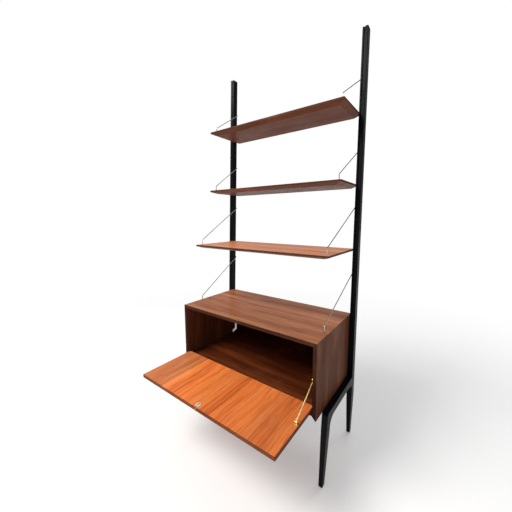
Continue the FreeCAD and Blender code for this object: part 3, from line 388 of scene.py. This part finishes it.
# pieces whose material differs from the rest of their slot; the side panels' darker teak is painted shade
byNode = {
    "cabinet_side_left": sideTeak, "cabinet_side_right": sideTeak, "lock_plug": lockBrass,
    "lock_sleeve": lockBrass, "lock_escutcheon": lockBrass, "lock_case": lockFace, "lock_rose": lockRim,
}
for name, item in nodes.items():
    material = byNode.get(name, bySlot[slotOf[name]])
    item.data.materials.clear()
    item.data.materials.append(material)
print("materials set")


# slotted wood screws, sizes in millimetres; tip is the way each one is driven in
screwSets = {
    "footScrews": {"node": "stay_foot_screws", "body": "flap", "tip": (0, 0, -1), "headRadius": 1.9,
                   "length": 10, "seed": 3, "slot": "brass"},
    "bracketScrews": {"node": "stay_bracket_screws", "body": "frame", "tip": (1, 0, 0), "headRadius": 1.9,
                      "length": 10, "seed": 8, "slot": "brass"},
    "stopScrews": {"node": "flap_stop_screws", "body": "frame", "tip": (0, 0, 1), "headRadius": 2.2,
                   "length": 11, "seed": 12, "slot": "steel"},
    "strikeScrews": {"node": "strike_screws", "body": "frame", "tip": (0, 0, 1), "headRadius": 1.9,
                     "length": 10, "seed": 5, "slot": "brass"},
}


# each as a part of the head's radius
screwShape = {"headDepth": 0.6, "shank": 0.45, "slotWidth": 0.28, "slotDepth": 0.3}


def screwHeads(node, tip):
    # the middle of each screw's head, read from the node's loose shells
    shells = bmesh.new()
    shells.from_mesh(nodes[node].data)
    bmesh.ops.remove_doubles(shells, verts=shells.verts, dist=1e-6)
    seen, heads = set(), []
    for start in shells.verts:
        if start in seen:
            continue
        shell, queue = [], [start]
        seen.add(start)
        while queue:
            vert = queue.pop()
            shell.append(vert.co.copy())
            for edge in vert.link_edges:
                other = edge.other_vert(vert)
                if other not in seen:
                    seen.add(other)
                    queue.append(other)
        low = Vector([min(point[axis] for point in shell) for axis in range(3)])
        high = Vector([max(point[axis] for point in shell) for axis in range(3)])
        head = (low + high) / 2
        for axis in range(3):
            if tip[axis]:
                head[axis] = low[axis] if tip[axis] > 0 else high[axis]
        heads.append(head)
    shells.free()
    return heads


def screwTree():
    tree = bpy.data.node_groups.new("slottedScrews", "GeometryNodeTree")
    face = tree.interface
    face.new_socket("Geometry", in_out="INPUT", socket_type="NodeSocketGeometry")
    for label in ("Head Radius", "Head Depth", "Shank Radius", "Length", "Slot Width", "Slot Depth"):
        face.new_socket(label, in_out="INPUT", socket_type="NodeSocketFloat")
    face.new_socket("Tip", in_out="INPUT", socket_type="NodeSocketVector")
    face.new_socket("Seed", in_out="INPUT", socket_type="NodeSocketInt")
    face.new_socket("Material", in_out="INPUT", socket_type="NodeSocketMaterial")
    face.new_socket("Geometry", in_out="OUTPUT", socket_type="NodeSocketGeometry")
    given = tree.nodes.new("NodeGroupInput").outputs
    # cone head, from its flat face at zero towards the tip
    head = addNode(tree, "GeometryNodeMeshCone")
    head.inputs["Vertices"].default_value = 32
    link(tree, given["Shank Radius"], head.inputs["Radius Top"])
    link(tree, given["Head Radius"], head.inputs["Radius Bottom"])
    link(tree, given["Head Depth"], head.inputs["Depth"])
    shank = addNode(tree, "GeometryNodeMeshCylinder")
    shank.inputs["Vertices"].default_value = 20
    link(tree, given["Shank Radius"], shank.inputs["Radius"])
    link(tree, math2(tree, "SUBTRACT", given["Length"], math2(tree, "MULTIPLY", given["Head Depth"], 0.5)),
         shank.inputs["Depth"])
    shankPlace = addNode(tree, "ShaderNodeCombineXYZ")
    link(tree, math2(tree, "ADD", math2(tree, "MULTIPLY", given["Length"], 0.5),
                     math2(tree, "MULTIPLY", given["Head Depth"], 0.25)), shankPlace.inputs[2])
    shankMoved = addNode(tree, "GeometryNodeTransform")
    link(tree, shank.outputs["Mesh"], shankMoved.inputs["Geometry"])
    link(tree, shankPlace.outputs[0], shankMoved.inputs["Translation"])
    whole = addNode(tree, "GeometryNodeMeshBoolean", operation="UNION", solver="EXACT")
    link(tree, head.outputs["Mesh"], whole.inputs["Mesh 2"])
    link(tree, shankMoved.outputs["Geometry"], whole.inputs["Mesh 2"])
    # driver slot across the head
    slotSize = addNode(tree, "ShaderNodeCombineXYZ")
    link(tree, given["Slot Width"], slotSize.inputs[0])
    link(tree, math2(tree, "MULTIPLY", given["Head Radius"], 4.0), slotSize.inputs[1])
    link(tree, math2(tree, "MULTIPLY", given["Slot Depth"], 2.0), slotSize.inputs[2])
    slotBar = addNode(tree, "GeometryNodeMeshCube")
    link(tree, slotSize.outputs[0], slotBar.inputs["Size"])
    slotted = addNode(tree, "GeometryNodeMeshBoolean", operation="DIFFERENCE", solver="EXACT")
    link(tree, whole.outputs["Mesh"], slotted.inputs["Mesh 1"])
    link(tree, slotBar.outputs["Mesh"], slotted.inputs["Mesh 2"])
    # one screw at each point, its slot turned by chance
    aim = addNode(tree, "FunctionNodeAlignRotationToVector", axis="Z")
    link(tree, given["Tip"], aim.inputs["Vector"])
    chance = addNode(tree, "FunctionNodeRandomValue", data_type="FLOAT")
    chance.inputs[3].default_value = math.pi
    link(tree, given["Seed"], chance.inputs["Seed"])
    spin = addNode(tree, "FunctionNodeAxisAngleToRotation")
    link(tree, chance.outputs[1], spin.inputs["Angle"])
    turned = addNode(tree, "FunctionNodeRotateRotation", rotation_space="LOCAL")
    link(tree, aim.outputs["Rotation"], turned.inputs["Rotation"])
    link(tree, spin.outputs["Rotation"], turned.inputs["Rotate By"])
    placed = addNode(tree, "GeometryNodeInstanceOnPoints")
    link(tree, given["Geometry"], placed.inputs["Points"])
    link(tree, slotted.outputs["Mesh"], placed.inputs["Instance"])
    link(tree, turned.outputs["Rotation"], placed.inputs["Rotation"])
    placed.inputs["Scale"].default_value = (0.001, 0.001, 0.001)
    real = addNode(tree, "GeometryNodeRealizeInstances")
    link(tree, placed.outputs["Instances"], real.inputs["Geometry"])
    painted = addNode(tree, "GeometryNodeSetMaterial")
    link(tree, real.outputs["Geometry"], painted.inputs["Geometry"])
    link(tree, given["Material"], painted.inputs["Material"])
    output = tree.nodes.new("NodeGroupOutput")
    link(tree, painted.outputs["Geometry"], output.inputs["Geometry"])
    return tree


def makeScrews(name, settings, tree):
    points = bpy.data.meshes.new(name + "Points")
    points.from_pydata(screwHeads(settings["node"], settings["tip"]), [], [])
    piece = bpy.data.objects.new(name, points)
    bpy.context.scene.collection.objects.link(piece)
    modifier = piece.modifiers.new("screws", "NODES")
    modifier.node_group = tree
    radius = settings["headRadius"]
    material = bySlot[settings["slot"]]
    sizes = {"Head Radius": radius, "Head Depth": radius * screwShape["headDepth"],
             "Shank Radius": radius * screwShape["shank"], "Length": settings["length"],
             "Slot Width": radius * screwShape["slotWidth"], "Slot Depth": radius * screwShape["slotDepth"],
             "Tip": settings["tip"], "Seed": settings["seed"], "Material": material}
    for socket in tree.interface.items_tree:
        if socket.in_out == "INPUT" and socket.name in sizes:
            modifier[socket.identifier] = sizes[socket.name]
    evaluated = piece.evaluated_get(bpy.context.evaluated_depsgraph_get())
    mesh = bpy.data.meshes.new_from_object(evaluated)
    piece.modifiers.remove(modifier)
    piece.data = mesh
    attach(piece, settings["body"])
    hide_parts(settings["node"])
    print(name, len(points.vertices), "screws", len(mesh.polygons), "faces")


slottedScrews = screwTree()
for name, settings in screwSets.items():
    makeScrews(name, settings, slottedScrews)
print("screws made")


floorLook = {"size": 14, "drop": 0.0005, "color": (0.94, 0.94, 0.94, 1), "rough": 0.8, "shine": 0.1,
             "fadeFrom": 0.7, "fadeTo": 3.2, "fadeLow": 0.25}


def makeStage():
    mesh = bpy.data.meshes.new("floor")
    body = bmesh.new()
    bmesh.ops.create_grid(body, x_segments=1, y_segments=1, size=floorLook["size"])
    body.to_mesh(mesh)
    body.free()
    floor = bpy.data.objects.new("floor", mesh)
    bpy.context.scene.collection.objects.link(floor)
    floor.location = (0, 0, -floorLook["drop"])
    material, tree, shader = newMaterial("paleFloor")
    shader.inputs["Base Color"].default_value = floorLook["color"]
    shader.inputs["Roughness"].default_value = floorLook["rough"]
    shader.inputs["Specular IOR Level"].default_value = floorLook["shine"]
    # the floor is partly an emission, a painted light that glows weakly near the piece and fully further
    # off, so that it runs into the white behind it
    reach = addNode(tree, "ShaderNodeVectorMath", operation="LENGTH")
    link(tree, objectPlace(tree), reach.inputs[0])
    fade = mapRange(tree, reach.outputs["Value"], floorLook["fadeFrom"], floorLook["fadeTo"],
                    floorLook["fadeLow"], 1.0)
    glow = addNode(tree, "ShaderNodeEmission")
    mix = addNode(tree, "ShaderNodeMixShader")
    link(tree, fade, mix.inputs[0])
    link(tree, shader.outputs["BSDF"], mix.inputs[1])
    link(tree, glow.outputs[0], mix.inputs[2])
    end = [node for node in tree.nodes if node.type == "OUTPUT_MATERIAL"][0]
    link(tree, mix.outputs[0], end.inputs["Surface"])
    mesh.materials.append(material)


skyLook = {"lighting": 0.34, "behind": 1.0}  # strength on the piece, and as the plain ground behind it


def makeWorld():
    world = bpy.data.worlds.new("studio")
    bpy.context.scene.world = world
    world.use_nodes = True
    tree = world.node_tree
    back = tree.nodes["Background"]
    back.inputs["Color"].default_value = (1.0, 1.0, 1.0, 1)
    path = tree.nodes.new("ShaderNodeLightPath")
    strength = tree.nodes.new("ShaderNodeMix")
    strength.inputs[2].default_value = skyLook["lighting"]
    strength.inputs[3].default_value = skyLook["behind"]
    tree.links.new(path.outputs["Is Camera Ray"], strength.inputs[0])
    tree.links.new(strength.outputs[0], back.inputs["Strength"])


lamps = {
    "keyLight": {"place": (-1.7, -2.4, 3.9), "target": (0, -0.1, 0.5), "size": (2.2, 1.8), "power": 225,
                 "color": (1.0, 0.985, 0.96), "mirrored": True},
    "fillLight": {"place": (3.3, -2.0, 2.0), "target": (0, 0, 0.8), "size": (2.2, 2.6), "power": 9,
                  "color": (0.95, 0.975, 1.0), "mirrored": True},
    # behind the piece, and left out of its gloss so that the uprights' sides stay black
    "rimLight": {"place": (0.6, 3.0, 3.4), "target": (0, 0, 1.0), "size": (2.4, 1.6), "power": 50,
                 "color": (0.97, 0.985, 1.0), "mirrored": False},
}


def makeLamp(name, settings):
    data = bpy.data.lights.new(name, "AREA")
    data.shape = "RECTANGLE"
    data.size, data.size_y = settings["size"]
    data.energy = settings["power"]
    data.color = settings["color"]
    lamp = bpy.data.objects.new(name, data)
    bpy.context.scene.collection.objects.link(lamp)
    lamp.location = settings["place"]
    lamp.visible_glossy = settings["mirrored"]
    aim = Vector(settings["target"]) - Vector(settings["place"])
    lamp.rotation_euler = aim.to_track_quat("-Z", "Y").to_euler()


view = {"lens": 18.32, "sensor": 36, "shift": (-0.028, -0.0198), "place": (0.8034, -0.98457, 1.1075),
        "yaw": 0.6119, "pitch": 0.1043, "near": 0.05, "far": 60}


def makeCamera():
    data = bpy.data.cameras.new("camera")
    camera = bpy.data.objects.new("camera", data)
    bpy.context.scene.collection.objects.link(camera)
    data.lens = view["lens"]
    data.sensor_width = view["sensor"]
    data.shift_x, data.shift_y = view["shift"]
    data.clip_start, data.clip_end = view["near"], view["far"]
    camera.location = view["place"]
    yaw, pitch = view["yaw"], view["pitch"]
    aim = Vector((-math.sin(yaw) * math.cos(pitch), math.cos(yaw) * math.cos(pitch), -math.sin(pitch)))
    camera.rotation_euler = aim.to_track_quat("-Z", "Y").to_euler()
    bpy.context.scene.camera = camera


makeStage()
makeWorld()
for name, settings in lamps.items():
    makeLamp(name, settings)
makeCamera()
scene = bpy.context.scene
scene.view_settings.view_transform = "Standard"
print("stage made")
